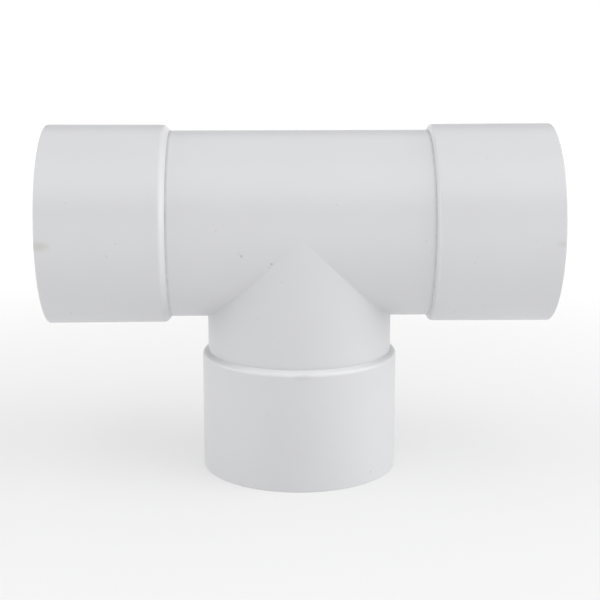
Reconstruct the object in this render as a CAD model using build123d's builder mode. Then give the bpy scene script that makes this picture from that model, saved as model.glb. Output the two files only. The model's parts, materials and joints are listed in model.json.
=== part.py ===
from build123d import *
import os

# Equal 90 degree tee for 40 mm solvent-weld waste pipe (43 mm outside diameter).
#
# Five pieces cemented together: a run barrel with a V notch, a branch barrel whose pointed end
# fills the notch, and three socket sleeves, one over each barrel end. Millimetres, +Z up, +X along
# the run. The tee stands on the branch socket's mouth, whose centre is the origin.

# Driving dimensions
pipe_od = 43.0  # the pipe that each socket takes
pipe_wall = 1.9
pipe_clearance = 0.1  # radial room for solvent cement around the pipe
socket_wall = 2.4
socket_draft = 0.05  # the sleeve's outside is this much larger at the mouth and smaller at the root
socket_depth = 27.5  # from the mouth to the pipe stop: half the pipe's diameter plus 6 mm
centre_to_mouth = 60.75  # the same along the run and down the branch
barrel_od = 45.1
barrel_lap = 2.1  # how far each barrel end sits inside its sleeve
barrel_clearance = 0.05  # radial room for cement between a barrel and its sleeve
barrel_edge_break = 0.3  # bevel on the inner edge of each barrel end
shoulder_slope = 0.8  # a sleeve's back face leans towards its mouth by this much at the outside
shoulder_radius = 1.2  # rounded back edge of a sleeve
rim_radius = 0.3  # rounded outer edge of a mouth
lead_in_depth = 0.8  # bevel just inside a mouth, which guides the pipe in
lead_in_width = 0.5

# Worked out from the driving dimensions
bore_radius = pipe_od / 2 + pipe_clearance
waterway_radius = pipe_od / 2 - pipe_wall
barrel_radius = barrel_od / 2
barrel_seat_radius = barrel_radius + barrel_clearance
sleeve_radius = bore_radius + socket_wall
sleeve_length = socket_depth + barrel_lap
centre_to_stop = centre_to_mouth - socket_depth
run_height = centre_to_mouth

# The barrels meet on two 45 degree planes that cross on the centre of the run. This right-angled
# triangle, seen along the Y axis, holds what belongs to the branch.
mitre_wedge = [(0, run_height), (-run_height, 0), (run_height, 0)]

# Each socket: its mouth's centre, and the way that a pipe leaves it
sockets = {
    "left_socket": (Vector(-centre_to_mouth, 0, run_height), Vector(-1, 0, 0)),
    "right_socket": (Vector(centre_to_mouth, 0, run_height), Vector(1, 0, 0)),
    "branch_socket": (Vector(0, 0, 0), Vector(0, 0, -1)),
}


def make_sleeve(mouth, outward):
    """A socket sleeve: a section drawn from the mouth inwards, turned about the pipe's axis."""
    inward = -outward
    radial = Vector(0, 1, 0)
    section_plane = Plane(origin=mouth, x_dir=radial, z_dir=radial.cross(inward))
    with BuildPart() as sleeve:
        with BuildSketch(section_plane) as section:
            with BuildLine():
                Polyline(
                    (bore_radius + lead_in_width, 0),
                    (sleeve_radius + socket_draft, 0),
                    (sleeve_radius - socket_draft, sleeve_length - shoulder_slope),
                    (barrel_seat_radius, sleeve_length),
                    (barrel_seat_radius, socket_depth),
                    (bore_radius, socket_depth),
                    (bore_radius, lead_in_depth),
                    close=True,
                )
            make_face()
            mouth_corner = section.vertices().group_by(Axis.Y)[0].sort_by(Axis.X)[-1]
            fillet(mouth_corner, rim_radius)
            shoulder_corner = section.vertices().group_by(Axis.Y)[-2].sort_by(Axis.X)[-1]
            fillet(shoulder_corner, shoulder_radius)
        revolve(axis=Axis(mouth, inward))
    return sleeve.part


# Run barrel: a tube from stop to stop, notched from below
with BuildPart() as run_barrel:
    # The sketch's first axis points up, which puts the tube's seam on top, clear of the notch
    left_stop = Plane(origin=(-centre_to_stop, 0, run_height), x_dir=(0, 0, 1), z_dir=(1, 0, 0))
    with BuildSketch(left_stop):
        Circle(barrel_radius)
        Circle(waterway_radius, mode=Mode.SUBTRACT)
    extrude(amount=2 * centre_to_stop)
    end_faces = run_barrel.faces().filter_by(Plane.YZ)
    bore_edges = end_faces.edges().filter_by(lambda edge: edge.radius < barrel_radius)
    chamfer(bore_edges, barrel_edge_break)
    with BuildSketch(Plane.XZ):
        Polygon(*mitre_wedge, align=None)
    extrude(amount=barrel_od, both=True, mode=Mode.SUBTRACT)

# Branch barrel: a tube up from its stop, cut to a point that fills the notch
with BuildPart() as branch_barrel:
    with BuildSketch(Plane.XY.offset(socket_depth)):
        Circle(barrel_radius)
        Circle(waterway_radius, mode=Mode.SUBTRACT)
    extrude(amount=run_height - socket_depth)
    low_face = branch_barrel.faces().sort_by(Axis.Z)[0]
    chamfer(low_face.edges().sort_by(SortBy.RADIUS)[0], barrel_edge_break)
    with BuildSketch(Plane.XZ):
        Polygon(*mitre_wedge, align=None)
    extrude(amount=barrel_od, both=True, mode=Mode.INTERSECT)

os.makedirs("parts", exist_ok=True)

run_barrel.part.label = "run_barrel"
export_step(run_barrel.part, "parts/run_barrel.step")

branch_barrel.part.label = "branch_barrel"
export_step(branch_barrel.part, "parts/branch_barrel.step")

for name, (mouth, outward) in sockets.items():
    sleeve_part = make_sleeve(mouth, outward)
    sleeve_part.label = name
    export_step(sleeve_part, f"parts/{name}.step")
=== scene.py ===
import json
from math import cos, pi, radians, sin, sqrt

import bmesh
import bpy
import numpy as np
from mathutils import Matrix, Vector


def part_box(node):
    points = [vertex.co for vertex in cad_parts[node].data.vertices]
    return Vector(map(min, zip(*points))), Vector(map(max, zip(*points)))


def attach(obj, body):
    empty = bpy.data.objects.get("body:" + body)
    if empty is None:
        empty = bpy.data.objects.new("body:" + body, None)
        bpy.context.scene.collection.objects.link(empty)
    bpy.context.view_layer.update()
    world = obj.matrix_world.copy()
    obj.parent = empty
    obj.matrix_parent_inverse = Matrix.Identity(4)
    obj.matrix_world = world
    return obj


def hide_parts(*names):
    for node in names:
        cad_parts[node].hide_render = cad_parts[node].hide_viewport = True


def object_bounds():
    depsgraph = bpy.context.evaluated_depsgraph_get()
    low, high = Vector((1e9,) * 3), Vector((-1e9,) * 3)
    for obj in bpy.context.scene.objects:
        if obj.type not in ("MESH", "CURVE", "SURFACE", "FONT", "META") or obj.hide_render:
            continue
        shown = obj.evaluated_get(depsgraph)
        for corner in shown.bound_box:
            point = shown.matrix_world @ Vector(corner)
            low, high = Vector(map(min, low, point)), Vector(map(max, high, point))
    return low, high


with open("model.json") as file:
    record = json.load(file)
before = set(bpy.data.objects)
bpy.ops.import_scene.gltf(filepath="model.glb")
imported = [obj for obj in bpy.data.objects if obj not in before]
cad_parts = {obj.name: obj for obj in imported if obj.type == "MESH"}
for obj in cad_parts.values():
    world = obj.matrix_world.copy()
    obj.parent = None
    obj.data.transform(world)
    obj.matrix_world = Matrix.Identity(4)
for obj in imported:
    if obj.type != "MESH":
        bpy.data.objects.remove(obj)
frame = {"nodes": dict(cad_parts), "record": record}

# A white moulded plastic tee for 43 mm waste pipe, standing on its branch socket.
# The run lies along X, the branch points down, and everything is in metres.

cad_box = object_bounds()
mm = 0.001

# ---------------------------------------------------------------- sizes read from the frame

mounts = {mount["name"]: mount for mount in frame["record"]["mounts"]}


def node_points(name):
    """Every vertex of a CAD node, as an array of x, y, z rows."""
    vertices = frame["nodes"][name].data.vertices
    points = np.empty(3 * len(vertices), np.float32)
    vertices.foreach_get("co", points)
    return points.reshape(-1, 3).astype(float)


run_height = mounts["right_socket"]["pos_m"][2]
centre_to_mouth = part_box("right_socket")[1].x
centre_to_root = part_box("right_socket")[0].x
centre_to_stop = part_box("run_barrel")[1].x
barrel_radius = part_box("run_barrel")[1].y
bore_radius = mounts["right_socket"]["dims"]["r_mm"] * mm
bore_wall = mounts["right_socket"]["dims"]["length_mm"] * mm

run_points = node_points("run_barrel")
waterway_radius = np.hypot(run_points[:, 1], run_points[:, 2] - run_height).min()
socket_points = node_points("branch_socket")
sleeve_radius = np.hypot(socket_points[:, 0], socket_points[:, 1]).max()

sleeve_length = centre_to_mouth - centre_to_root
socket_depth = centre_to_mouth - centre_to_stop
lead_in_depth = socket_depth - bore_wall

# ---------------------------------------------------------------- small features of the moulding

sleeve_draft = 0.1 * mm  # the sleeve is this much slimmer at its root than at its mouth
lead_in_width = 0.5 * mm
rim_radius = 0.3 * mm  # outer edge of a mouth
lip_radius = 0.2 * mm  # inner edge of a mouth, and the end of its lead-in
shoulders = {  # each sleeve's back: how far its face leans towards the mouth, and its edge's radius
    "left_socket": (1.2 * mm, 1.2 * mm),
    "right_socket": (0.7 * mm, 0.8 * mm),
    "branch_socket": (0.7 * mm, 1.0 * mm),
}
seat_clearance = 0.01 * mm  # between a barrel and the sleeve over its end
seat_lip_radius = 0.03 * mm
hidden_radius = 0.05 * mm
barrel_bevel = 0.3 * mm  # inner edge of a barrel's end
crotch_radius = 0.35 * mm  # fillet along the line where branch and run meet
inner_crotch_radius = 0.25 * mm
gate_radius = 0.45 * mm  # the snapped-off stub of the moulding gate, on top of the run
gate_height = 0.1 * mm
gate_place = -0.6 * mm  # along the run from its middle

around = 256  # steps round a barrel or a sleeve
along = 48  # steps from a barrel's end to the mitre
cut_steps = 5  # across a barrel's wall at the mitre
end_steps = 6  # across its end
arc_steps = 8  # round a corner of a sleeve's section
straight_spacing = 1.6 * mm  # the longest step on a straight stretch of a sleeve's section, roughly
same_place = 0.0005 * mm  # vertices this near each other are merged
sharp_angle = radians(35)  # between faces, from which their edge is shaded sharp


# ---------------------------------------------------------------- meshes

def spread(first, last, steps):
    """Values from first to last, crowded at both ends: the cosine of evenly spaced angles."""
    share = (1 - np.cos(np.linspace(0, pi, steps + 1))) / 2
    return first + (last - first) * share


def spread_points(first, last, steps):
    """Points on the straight line between two points, crowded at both ends."""
    return spread(0, 1, steps)[:, None] * (last - first) + first


def rounded_outline(corners):
    """A closed outline through corners of (x, y, radius), each turned into a round arc.

    An arc starts and ends radius / tan(half the inside angle) from its corner, and its centre is on
    the corner's bisector. The straight stretches are cut up finely near the arcs.
    """
    places = np.array([corner[:2] for corner in corners])
    stretches = []
    for here, corner in enumerate(corners):
        back = places[here - 1] - places[here]
        on = places[(here + 1) % len(corners)] - places[here]
        back /= np.linalg.norm(back)
        on /= np.linalg.norm(on)
        half_angle = np.arccos(back @ on) / 2
        reach = corner[2] / np.tan(half_angle)
        centre = places[here] + (back + on) / np.linalg.norm(back + on) * corner[2] / sin(half_angle)
        start = places[here] + back * reach - centre
        end = places[here] + on * reach - centre
        turn = (pi - 2 * half_angle) * np.sign(start[0] * end[1] - start[1] * end[0])
        angles = np.linspace(0, turn, arc_steps + 1)[:, None]
        quarter = np.array([-start[1], start[0]])
        stretches.append(centre + start * np.cos(angles) + quarter * np.sin(angles))
    outline = []
    for here, arc in enumerate(stretches):
        nearby = stretches[(here + 1) % len(stretches)][0]
        steps = 2 + int(np.linalg.norm(nearby - arc[-1]) / straight_spacing)
        outline += [arc, spread_points(arc[-1], nearby, steps)[1:-1]]
    return np.concatenate(outline)


def ring_faces(rows, columns):
    """Vertex numbers of the quads of a grid that closes on itself both ways, like a ring's skin."""
    row = np.arange(rows)[:, None]
    column = np.arange(columns)[None, :]
    below = (row + 1) % rows
    beside = (column + 1) % columns
    corners = [
        row * columns + column,
        row * columns + beside,
        below * columns + beside,
        below * columns + column,
    ]
    return np.stack(np.broadcast_arrays(*corners), -1)


def make_piece(name, points, faces):
    """A mesh object from whole arrays, with doubles merged, every face outwards and smooth shading."""
    mesh = bpy.data.meshes.new(name)
    mesh.from_pydata(points.reshape(-1, 3), [], faces.reshape(-1, 4))
    work = bmesh.new()
    work.from_mesh(mesh)
    bmesh.ops.remove_doubles(work, verts=work.verts, dist=same_place)
    bmesh.ops.recalc_face_normals(work, faces=work.faces)
    work.to_mesh(mesh)
    work.free()
    mesh.shade_smooth()
    mesh.set_sharp_from_angle(angle=sharp_angle)
    piece = bpy.data.objects.new(name, mesh)
    bpy.context.scene.collection.objects.link(piece)
    return piece


def make_sleeve(name, mouth, outward, shoulder_slope, shoulder_radius):
    """A socket sleeve: its closed section, in radius and depth from the mouth, turned about its axis.

    Point = mouth - depth x outward + radius x (cos turn x side + sin turn x up).
    """
    seat_radius = barrel_radius + seat_clearance
    root_radius = sleeve_radius - sleeve_draft
    section = rounded_outline([
        (bore_radius + lead_in_width, 0, lip_radius),
        (sleeve_radius, 0, rim_radius),
        (root_radius, sleeve_length - shoulder_slope, shoulder_radius),
        (seat_radius, sleeve_length, seat_lip_radius),
        (seat_radius, socket_depth, hidden_radius),
        (bore_radius, socket_depth, hidden_radius),
        (bore_radius, lead_in_depth, lip_radius),
    ])
    side = np.array([0, 1, 0])
    up = np.cross(outward, side)
    turn = np.arange(around)[:, None, None] * 2 * pi / around
    radius, depth = section[None, :, :1], section[None, :, 1:]
    points = mouth - depth * outward + radius * (np.cos(turn) * side + np.sin(turn) * up)
    return make_piece(name, points, ring_faces(around, len(section)))


def smooth_union(first, second, softness):
    """The lesser of two distances, rounded where they differ by less than softness.

    It is the lesser minus (softness - difference) squared / (4 x softness).
    """
    overlap = np.maximum(softness - np.abs(first - second), 0)
    return np.minimum(first, second) - overlap ** 2 / (4 * softness)


def ease_crotch(points, radius, fillet):
    """Moves the points of a barrel's wall out to a fillet along the mitre.

    The wall is where the smooth union of the distances to the run's and the branch's cylinders is
    zero. Its softness is the fillet times the squared sine of the angle round the run, so it fades
    out where the cylinders touch without a corner. Each step divides by the union's slope.
    """
    middle = np.array([0, 0, run_height])
    least_share = 1e-4  # of the softness, so that it is never quite zero

    def union(at):
        x, y, z = (at - middle).T
        softness = fillet * np.clip(1 - (y / radius) ** 2, least_share, 1)
        blended = smooth_union(np.hypot(y, z) - radius, np.hypot(x, y) - radius, softness)
        return np.where(z < 0, blended, np.hypot(y, z) - radius)

    nudge = 0.001 * mm
    rounds = 6
    for _ in range(rounds):
        error = union(points)
        slope = np.stack([(union(points + nudge * step) - error) / nudge for step in np.eye(3)], -1)
        points = points - error[:, None] * slope / (slope ** 2).sum(1, keepdims=True)
    return points


def barrel_half(turn, mitre_share, to_point):
    """Points of one end of a barrel, a closed loop of wall for each step round its axis.

    The loop runs along the outside from the end to the mitre, across the cut, back along the
    inside, and across the end with its bevel. A point's distance from the middle of the tee is
    radius x mitre_share at the cut, and steps crowd together there as the square of their share.
    """
    crowded = 1 - np.linspace(1, 0, along + 1) ** 2
    cut = np.linspace(0, 1, cut_steps + 1)[1:-1]
    end = np.linspace(0, 1, end_steps + 1)[1:-1]

    def wall(radius, share, stop):
        return stop + (radius * mitre_share[:, None] - stop) * share[None, :]

    outside = wall(barrel_radius, crowded, centre_to_stop)
    bevel_stop = centre_to_stop - barrel_bevel
    inside = wall(waterway_radius, crowded[::-1], bevel_stop)
    cut_radius = barrel_radius + (waterway_radius - barrel_radius) * cut
    cut_distance = cut_radius[None, :] * mitre_share[:, None]
    bevel_radius = waterway_radius + barrel_bevel
    end_radius = bevel_radius + (barrel_radius - bevel_radius) * np.concatenate([[0], end])
    radius = np.concatenate([
        np.full(along + 1, barrel_radius), cut_radius, np.full(along + 1, waterway_radius), end_radius,
    ])
    end_distance = np.full((len(turn), len(end_radius)), centre_to_stop)
    distance = np.concatenate([outside, cut_distance, inside, end_distance], 1)
    points = to_point(turn[:, None], np.broadcast_to(radius, distance.shape), distance)
    outer = slice(0, along + 1)
    inner = slice(along + 1 + len(cut), 2 * along + 2 + len(cut))
    walls = [(outer, barrel_radius, crotch_radius), (inner, waterway_radius, inner_crotch_radius)]
    for part, size, fillet in walls:
        eased = ease_crotch(points[:, part].reshape(-1, 3), size, fillet)
        points[:, part] = eased.reshape(points[:, part].shape)
    return points


def raise_gate(points):
    """Lifts the stub of the gate out of the top of the run.

    Height = gate height x (1 - share squared) squared, where share is the distance over the radius.
    """
    away = np.hypot(points[..., 0] - gate_place, points[..., 1]) / gate_radius
    on_top = points[..., 2] > run_height + (barrel_radius + waterway_radius) / 2
    lift = gate_height * np.clip(1 - away ** 2, 0, 1) ** 2
    points[..., 2] += np.where(on_top, lift, 0)


def make_run_barrel():
    """The run: two ends that join over the branch and are cut back to the mitre under it."""
    below = np.linspace(-pi, 0, around // 2 + 1)
    near_top = radians(2.5)  # finer steps this near the top, for the gate's stub
    steps_near_top = 30
    above = np.concatenate([
        np.linspace(0, pi / 2 - near_top, around // 4),
        np.linspace(pi / 2 - near_top, pi / 2 + near_top, steps_near_top + 1)[1:-1],
        np.linspace(pi / 2 + near_top, pi, around // 4),
    ])
    turn = np.concatenate([below, above[1:-1]])
    mitre_share = np.maximum(-np.sin(turn), 0)
    halves = []
    for side in -1, 1:
        halves.append(barrel_half(turn, mitre_share, lambda angle, radius, distance: np.stack([
            side * distance, radius * np.cos(angle), run_height + radius * np.sin(angle),
        ], -1)))
    rows, columns = halves[0].shape[:2]
    faces = ring_faces(rows, columns)
    column = np.arange(columns)
    across_cut = (column >= along) & (column < along + cut_steps)
    over_branch = np.arange(rows) >= around // 2
    kept = faces[~(over_branch[:, None] & across_cut[None, :])]
    points = np.stack(halves)
    raise_gate(points)
    both = np.concatenate([kept, kept[:, ::-1] + rows * columns])
    return make_piece("run_barrel_wall", points, both)


def make_branch_barrel():
    """The branch: one end, whose other end is cut by both mitre planes to a point at front and back."""
    turn = np.arange(around) * 2 * pi / around
    points = barrel_half(turn, np.abs(np.cos(turn)), lambda angle, radius, distance: np.stack([
        radius * np.cos(angle), radius * np.sin(angle), run_height - distance,
    ], -1))
    return make_piece("branch_barrel_wall", points, ring_faces(around, points.shape[1]))


# ---------------------------------------------------------------- material

class Shade:
    """A socket of a material's nodes. An operator on it adds a Math node and gives its result."""

    def __init__(self, tree, socket=None):
        self.tree = tree
        self.socket = socket

    def node(self, kind, settings, inputs, output=0):
        """Adds a node: settings first, then each input, a Shade as a link and the rest as values."""
        made = self.tree.nodes.new(kind)
        for name, setting in settings.items():
            setattr(made, name, setting)
        for name, value in inputs.items():
            if isinstance(value, Shade):
                self.tree.links.new(value.socket, made.inputs[name])
            else:
                made.inputs[name].default_value = value
        return Shade(self.tree, made.outputs[output])

    def math(self, operation, first, second):
        return self.node("ShaderNodeMath", {"operation": operation}, {0: first, 1: second})

    def vector(self, operation, inputs, output=0):
        """Vector maths; output 1 is the one for a plain number, such as a length."""
        return self.node("ShaderNodeVectorMath", {"operation": operation}, inputs, output)

    def __add__(self, other):
        return self.math("ADD", self, other)

    def __radd__(self, other):
        return self.math("ADD", other, self)

    def __sub__(self, other):
        return self.math("SUBTRACT", self, other)

    def __rsub__(self, other):
        return self.math("SUBTRACT", other, self)

    def __mul__(self, other):
        return self.math("MULTIPLY", self, other)

    def __rmul__(self, other):
        return self.math("MULTIPLY", other, self)


def noise(place, size):
    """Noise around zero, from -0.5 to 0.5, with lumps of about that size."""
    return place.node("ShaderNodeTexNoise", {}, {"Vector": place, "Scale": 1 / size}) - 0.5


def fade(value, full, gone):
    """1 where value is at full and beyond, 0 at gone, and smooth between."""
    return value.node("ShaderNodeMapRange", {"interpolation_type": "SMOOTHSTEP"}, {
        "Value": value, "From Min": gone, "From Max": full, "To Min": 0.0, "To Max": 1.0,
    })


def mix_colour(share, first, second):
    """The first colour where share is 0, the second where it is 1."""
    return share.node("ShaderNodeMix", {"data_type": "RGBA"}, {0: share, 6: first, 7: second}, 2)


def distance_along(place, axes, centre=(0, 0, 0)):
    """How far a point is from the centre, counting only the axes marked 1."""
    flattened = place.vector("MULTIPLY", {0: place, 1: axes})
    off_centre = place.vector("SUBTRACT", {0: flattened, 1: centre})
    return place.vector("LENGTH", {0: off_centre}, 1)


def spot(place, centre, reach):
    """1 in the middle of an egg-shaped mark, fading to 0 at its edge; reach is its size along x, y, z."""
    scaled = place.vector("DIVIDE", {0: place.vector("SUBTRACT", {0: place, 1: centre}), 1: reach})
    return fade(place.vector("LENGTH", {0: scaled}, 1), mark_middle, 1.0)


white = (0.654, 0.657, 0.673, 1)
dusty_white = (0.644, 0.646, 0.660, 1)
# painted highlight: the lighter white of the sleeves' shoulder edges
shoulder_highlight_white = (0.78, 0.784, 0.795, 1)
# painted shade: the dark colour of the corner where a barrel meets a socket
seam_shade_colour = (0.36, 0.37, 0.345, 1)
tan_burn = (0.46, 0.44, 0.34, 1)
grey_burn = (0.50, 0.50, 0.49, 1)
gate_brown = (0.36, 0.34, 0.30, 1)
black_speck = (0.10, 0.10, 0.11, 1)
dust = (0.45, 0.45, 0.45, 1)

# clean plastic
plastic_ior = 1.54
satin = 0.36  # roughness, and how much it varies
satin_variation = 0.08
satin_patch = 3 * mm
cloud_size = 14 * mm
cloud_edge = 0.3  # noise at which a cloud is wholly the one white or the other
dust_spacing = 5 * mm  # of the cells that may each hold a speck of dust
dust_core = 0.02  # the speck's size in shares of the spacing: where it is solid, and its edge
dust_edge = 0.06
dusty_from = 0.9  # a cell's own random value, where its speck is full and where it has none
dustless_to = 0.6
dust_strength = 0.35
dust_roughness = 0.2

# burns, stains and specks
raggedness = 0.7  # how far a mark's edge wanders, as a share of its size
crumb_size = 0.5 * mm  # of the noise that it wanders by
mark_middle = 0.35  # the share of a mark's size within which it is solid
mark_roughness = 0.25

# the painted highlight on the branch's shoulder is full to the one distance from the tee's middle,
# and only the share beyond the other, where the run above shades it
unshaded_to = 11 * mm
run_shade_from = 20 * mm
run_shade_share = 0.3

# painted shade on a barrel, in the corner against a socket
seam_shade_full_to = 0.1 * mm  # from the corner
seam_shade_gone_at = 0.8 * mm
seam_shade_patch = 2 * mm
seam_shade_patchiness = 1.4
seam_shade_low = 0.6  # its share at the bottom of the run, and what the top has more
seam_shade_more_above = 0.6
seam_shade_rise = 18 * mm  # from the run's axis to that bottom and top

# relief
parting_height = 0.03 * mm
parting_width = 0.14 * mm
core_height = 0.012 * mm
core_mark_width = 0.6 * mm
core_mark_squeeze = 0.03  # along the pipe, which draws the marks out
grain_height = 0.004 * mm
grain_size = 0.35 * mm
wave_height = 0.06 * mm
wave_size = 6 * mm
outside_from = bore_radius + 0.5 * mm  # distances from a pipe's axis
inside_to = bore_radius + 0.2 * mm


def plain_plastic(place):
    """The colour and roughness of clean plastic: faint clouds, and dust in one cell of several."""
    cloud = fade(noise(place, cloud_size), cloud_edge, -cloud_edge)
    colour = mix_colour(cloud, dusty_white, white)
    cells = {"Vector": place, "Scale": 1 / dust_spacing}
    from_cell_middle = place.node("ShaderNodeTexVoronoi", {}, cells)
    cell_colour = place.node("ShaderNodeTexVoronoi", {}, cells, "Color")
    chance = place.node("ShaderNodeSeparateColor", {}, {"Color": cell_colour})
    speck = fade(from_cell_middle, dust_core, dust_edge) * fade(chance, dusty_from, dustless_to)
    rough = satin + noise(place, satin_patch) * satin_variation + speck * dust_roughness
    return mix_colour(speck * dust_strength, colour, dust), rough


def paint_shoulder_highlight(place, colour, from_seam, outside, on_branch_pipe, highlight):
    """Paints a highlight on a sleeve's back edge by whitening its colour, with the given share and reach
    from the back.

    The branch's shoulder gets the least painted highlight at its left and right, where the run above
    shades it.
    """
    share, depth = highlight
    if on_branch_pipe:
        out_of_run_shade = fade(distance_along(place, (1, 0, 0)), unshaded_to, run_shade_from)
        share = (run_shade_share + out_of_run_shade * (1 - run_shade_share)) * share
    # painted highlight: whiter along the sleeve's back edge
    highlighted = fade(from_seam, depth / 2, depth) * outside * share
    return mix_colour(highlighted, colour, shoulder_highlight_white)


def paint_seam_shade(place, colour, from_seam, outside, share):
    """Paints shade into a barrel's colour in the corner against its sockets, in patches, and darker
    towards the top.
    """
    height = place.node("ShaderNodeSeparateXYZ", {}, {"Vector": place}, "Z")
    upper = fade(height, run_height + seam_shade_rise, run_height - seam_shade_rise)
    patchy = seam_shade_low + upper * seam_shade_more_above + noise(place, seam_shade_patch) * seam_shade_patchiness
    # painted shade: darker along the barrel next to the socket's back
    seam_shading = fade(from_seam, -seam_shade_full_to, -seam_shade_gone_at) * outside * patchy * share
    return mix_colour(seam_shading, colour, seam_shade_colour)


def add_marks(place, colour, rough, marks):
    """Paints burns, stains and specks; each is (centre, reach, colour, strength), and its edge wanders."""
    crumbs = place.node("ShaderNodeTexNoise", {}, {"Vector": place, "Scale": 1 / crumb_size}, "Color")
    for centre, reach, tint, strength in marks:
        wander = [size * raggedness for size in reach]
        ragged = place.vector("MULTIPLY_ADD", {0: crumbs, 1: wander, 2: place})
        middle = [value + shift / 2 for value, shift in zip(centre, wander)]
        mask = spot(ragged, middle, reach) * strength
        colour = mix_colour(mask, colour, tint)
        rough = rough + mask * mark_roughness
    return colour, rough


def moulded_relief(place, outside, across_pipe):
    """The height of the surface in mm: fine grain and slow waves, and what the mould left.

    Outside, a parting line runs in the plane of the tee: height = line height x smooth step of
    (1 - distance from the plane / line width). Inside, the core has left faint marks, which are
    noise drawn out along the pipe.
    """
    parting_line = fade(distance_along(place, (0, 1, 0)), 0.0, parting_width) * outside
    squeeze = [1 if across else core_mark_squeeze for across in across_pipe]
    drawn_out = place.vector("MULTIPLY", {0: place, 1: squeeze})
    core_marks = noise(drawn_out, core_mark_width) * (1 - outside)
    grain = noise(place, grain_size) * (grain_height / mm)
    waves = noise(place, wave_size) * (wave_height / mm)
    return grain + waves + core_marks * (core_height / mm) + parting_line * (parting_height / mm)


def moulded_white(name, along_run, marks, highlight, seam_shade):
    """Satin white moulded plastic for one piece, with its marks.

    A socket has a painted highlight on its shoulder edge, and a barrel a share of painted shade in its
    corner against the sockets; the other is None.
    """
    material = bpy.data.materials.new(name)
    material.use_nodes = True
    tree = material.node_tree
    shader = tree.nodes["Principled BSDF"]
    place = Shade(tree).node("ShaderNodeTexCoord", {}, {}, "Object")

    if along_run:
        across_pipe = (0, 1, 1)
        from_axis = distance_along(place, across_pipe, (0, 0, run_height))
        from_seam = distance_along(place, (1, 0, 0)) - centre_to_root
    else:
        across_pipe = (1, 1, 0)
        from_axis = distance_along(place, across_pipe)
        from_seam = sleeve_length - distance_along(place, (0, 0, 1))
    outside = fade(from_axis, outside_from, inside_to)

    colour, rough = plain_plastic(place)
    if highlight:
        colour = paint_shoulder_highlight(place, colour, from_seam, outside, not along_run, highlight)
    if seam_shade:
        colour = paint_seam_shade(place, colour, from_seam, outside, seam_shade)
    colour, rough = add_marks(place, colour, rough, marks)
    relief = moulded_relief(place, outside, across_pipe)
    bump = place.node("ShaderNodeBump", {}, {"Height": relief, "Strength": 1.0, "Distance": 1 * mm})

    tree.links.new(colour.socket, shader.inputs["Base Color"])
    tree.links.new(rough.socket, shader.inputs["Roughness"])
    tree.links.new(bump.socket, shader.inputs["Normal"])
    shader.inputs["IOR"].default_value = plastic_ior
    return material


# ---------------------------------------------------------------- marks on the plastic

def on_run(along, above, radius):
    """A point on the front of the run or of its sockets, above the run's axis by that much, in mm."""
    return along * mm, -sqrt(radius ** 2 - (above * mm) ** 2), run_height + above * mm


def on_branch(aside, height, radius):
    """A point on the front of the branch or of its socket, at that height, in mm."""
    return aside * mm, -sqrt(radius ** 2 - (aside * mm) ** 2), height * mm


def specks(point_on, radius, places):
    """Black specks; each place is point_on's first two numbers, a size in mm and a strength."""
    return [(point_on(first, second, radius), (size * mm,) * 3, black_speck, strength)
            for first, second, size, strength in places]


# ---------------------------------------------------------------- the tee

pieces = {
    "run_barrel": make_run_barrel(),
    "branch_barrel": make_branch_barrel(),
}
mouths = {
    "left_socket": ((-centre_to_mouth, 0, run_height), (-1, 0, 0)),
    "right_socket": ((centre_to_mouth, 0, run_height), (1, 0, 0)),
    "branch_socket": ((0, 0, 0), (0, 0, -1)),
}
for node, (mouth, outward) in mouths.items():
    pieces[node] = make_sleeve(node + "_sleeve", np.array(mouth), np.array(outward), *shoulders[node])

on_collar = sleeve_radius
left_burn = (on_run(-60.2, -1.4, on_collar), (4.0 * mm, 1.6 * mm, 1.5 * mm), tan_burn, 0.38)
right_burn = (on_run(59.9, -1.3, on_collar), (2.4 * mm, 1.4 * mm, 1.0 * mm), grey_burn, 0.26)
shoulder_burn = (on_branch(0.4, 28.2, on_collar), (3.0 * mm, 1.4 * mm, 1.0 * mm), grey_burn, 0.25)
gate_stain = ((gate_place, 0, run_height + barrel_radius), (0.6 * mm,) * 3, gate_brown, 0.5)
marks = {
    "run_barrel": [gate_stain] + specks(on_run, barrel_radius, [
        (-13.7, -4.2, 0.42, 0.35), (-14.3, -3.6, 0.6, 0.08),
        (-6.8, -6.1, 0.36, 0.4), (-7.3, -6.8, 0.6, 0.06),
        (8.1, 7.5, 0.3, 0.15), (28.6, -0.8, 0.3, 0.15), (-19.5, 1.7, 0.35, 0.12),
    ]),
    "branch_barrel": specks(on_branch, barrel_radius, [
        (-4.5, 50.4, 0.33, 0.1), (-10.1, 41.3, 0.3, 0.12),
    ]),
    "left_socket": [left_burn] + specks(on_run, on_collar, [
        (-54.0, -18.8, 0.42, 0.2), (-44.3, -3.7, 0.35, 0.18),
        (-42.2, -0.8, 0.35, 0.12), (-53.3, 8.3, 0.3, 0.15),
    ]),
    "right_socket": [right_burn] + specks(on_run, on_collar, [
        (43.1, 17.6, 0.4, 0.1), (36.8, -19.1, 0.35, 0.25), (53.6, -0.8, 0.3, 0.12),
    ]),
    "branch_socket": [shoulder_burn] + specks(on_branch, on_collar, [
        (16.8, 2.7, 0.35, 0.2), (-7.9, 19.0, 0.4, 0.08),
    ]),
}
# painted highlight on each sleeve's shoulder edge: its share, and how far from the back it goes
shoulder_highlights = {
    "left_socket": (0.4, 1.5 * mm),
    "right_socket": (0.55, 1.2 * mm),
    "branch_socket": (0.9, 1.7 * mm),
}
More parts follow.
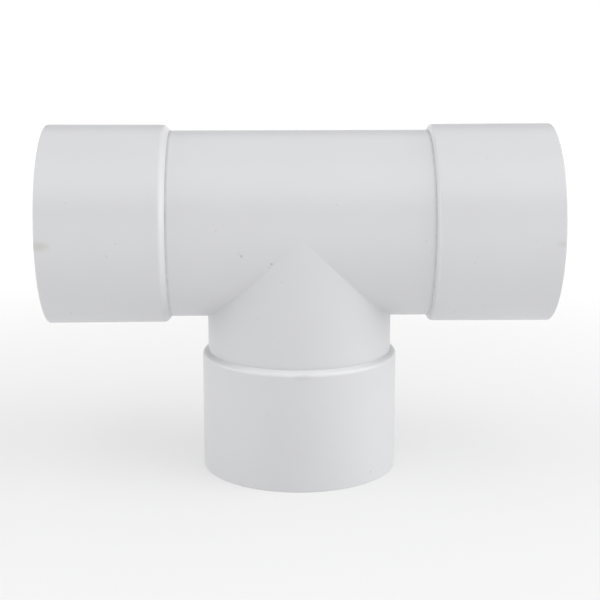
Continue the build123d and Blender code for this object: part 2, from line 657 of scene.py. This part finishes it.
# painted shade in each barrel's corner against its sockets: its share
seam_shade_shares = {"run_barrel": 0.42, "branch_barrel": 0.1}
for node, piece in pieces.items():
    along_run = not node.startswith("branch")
    highlight = shoulder_highlights.get(node)
    seam_shade = seam_shade_shares.get(node)
    plastic = moulded_white("white_plastic_" + node, along_run, marks[node], highlight, seam_shade)
    piece.data.materials.append(plastic)
    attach(piece, "root")
    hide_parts(node)

# ---------------------------------------------------------------- floor, lights and camera

floor_reach = 60.0
bpy.ops.mesh.primitive_plane_add(size=2 * floor_reach)
floor = bpy.context.object
floor.name = "floor"
paper = bpy.data.materials.new("white_paper")
paper.use_nodes = True
paper_shader = paper.node_tree.nodes["Principled BSDF"]
paper_grey = (0.5, 0.5, 0.5, 1)
paper_roughness = 0.9
paper_shader.inputs["Base Color"].default_value = paper_grey
paper_shader.inputs["Roughness"].default_value = paper_roughness
paper_shader.inputs["Specular IOR Level"].default_value = 0.0
# the paper's own glow, by the distance from the branch's mouth in metres: one rise near the tee,
# and one more far off
glow_near = 0.395
glow_far = 0.575
rise_start = 0.08
rise_end = 0.35
glow_horizon = 0.1
horizon_start = 0.3
horizon_end = 1.5
paper_place = Shade(paper.node_tree).node("ShaderNodeTexCoord", {}, {}, "Object")
away = paper_place.vector("LENGTH", {0: paper_place}, 1)
near_rise = fade(away, rise_end, rise_start) * (glow_far - glow_near)
glow = glow_near + near_rise + fade(away, horizon_end, horizon_start) * glow_horizon
paper.node_tree.links.new(glow.socket, paper_shader.inputs["Emission Strength"])
paper_shader.inputs["Emission Color"].default_value = (1, 1, 1, 1)
floor.data.materials.append(paper)

tee_centre = (cad_box[0] + cad_box[1]) / 2
softbox_distance = 1.0


def add_softbox(name, azimuth, elevation, size, power):
    """A square area light aimed at the tee. Azimuth 0 is the viewer's side and 90 the right."""
    light = bpy.data.lights.new(name, "AREA")
    light.shape = "SQUARE"
    light.size = size
    light.energy = power
    lamp = bpy.data.objects.new(name, light)
    direction = Vector((
        sin(radians(azimuth)) * cos(radians(elevation)),
        -cos(radians(azimuth)) * cos(radians(elevation)),
        sin(radians(elevation)),
    ))
    lamp.location = tee_centre + direction * softbox_distance
    lamp.rotation_euler = direction.to_track_quat("Z", "Y").to_euler()
    bpy.context.scene.collection.objects.link(lamp)


add_softbox("key_softbox", azimuth=60, elevation=35, size=0.8, power=2.1)
add_softbox("front_softbox", azimuth=0, elevation=60, size=0.8, power=1.3)
add_softbox("right_softbox", azimuth=90, elevation=6, size=0.6, power=3.4)
add_softbox("left_softbox", azimuth=-90, elevation=6, size=0.6, power=2.9)

world = bpy.data.worlds.new("studio")
world.use_nodes = True
background = world.node_tree.nodes["Background"]
look = Shade(world.node_tree).node("ShaderNodeTexCoord", {}, {}, "Generated")
height = look.node("ShaderNodeSeparateXYZ", {}, {"Vector": look}, "Z")
# heights on a sky of radius 1: bright up to the first, dark between, and a ceiling from the last
horizon_full = 0.2
horizon_gone = 0.32
ceiling_gone = 0.35
ceiling_full = 0.65
ceiling_strength = 0.92
horizon = fade(height, horizon_full, horizon_gone)
ceiling = fade(height, ceiling_full, ceiling_gone)
brightness = horizon + ceiling * ceiling_strength
world.node_tree.links.new(brightness.socket, background.inputs["Color"])
bpy.context.scene.world = world
bpy.context.scene.view_settings.view_transform = "Standard"

camera_distance = 332.2 * mm
camera_height_angle = radians(12.25)
camera_side_angle = radians(-1.2)  # to the left of square on
camera_roll = radians(-0.06)
camera_lens = 80.5
aim = tee_centre + Vector((0.19, 0, -0.93)) * mm

camera_data = bpy.data.cameras.new("camera")
camera_data.lens = camera_lens
camera_data.sensor_width = 36
camera_data.clip_start = 0.01
camera = bpy.data.objects.new("camera", camera_data)
bpy.context.scene.collection.objects.link(camera)
backwards = Vector((
    sin(camera_side_angle) * cos(camera_height_angle),
    -cos(camera_side_angle) * cos(camera_height_angle),
    sin(camera_height_angle),
))
camera.location = aim + backwards * camera_distance
facing = backwards.to_track_quat("Z", "Y").to_matrix()
camera.rotation_euler = (facing @ Matrix.Rotation(camera_roll, 3, "Z")).to_euler()
bpy.context.scene.camera = camera
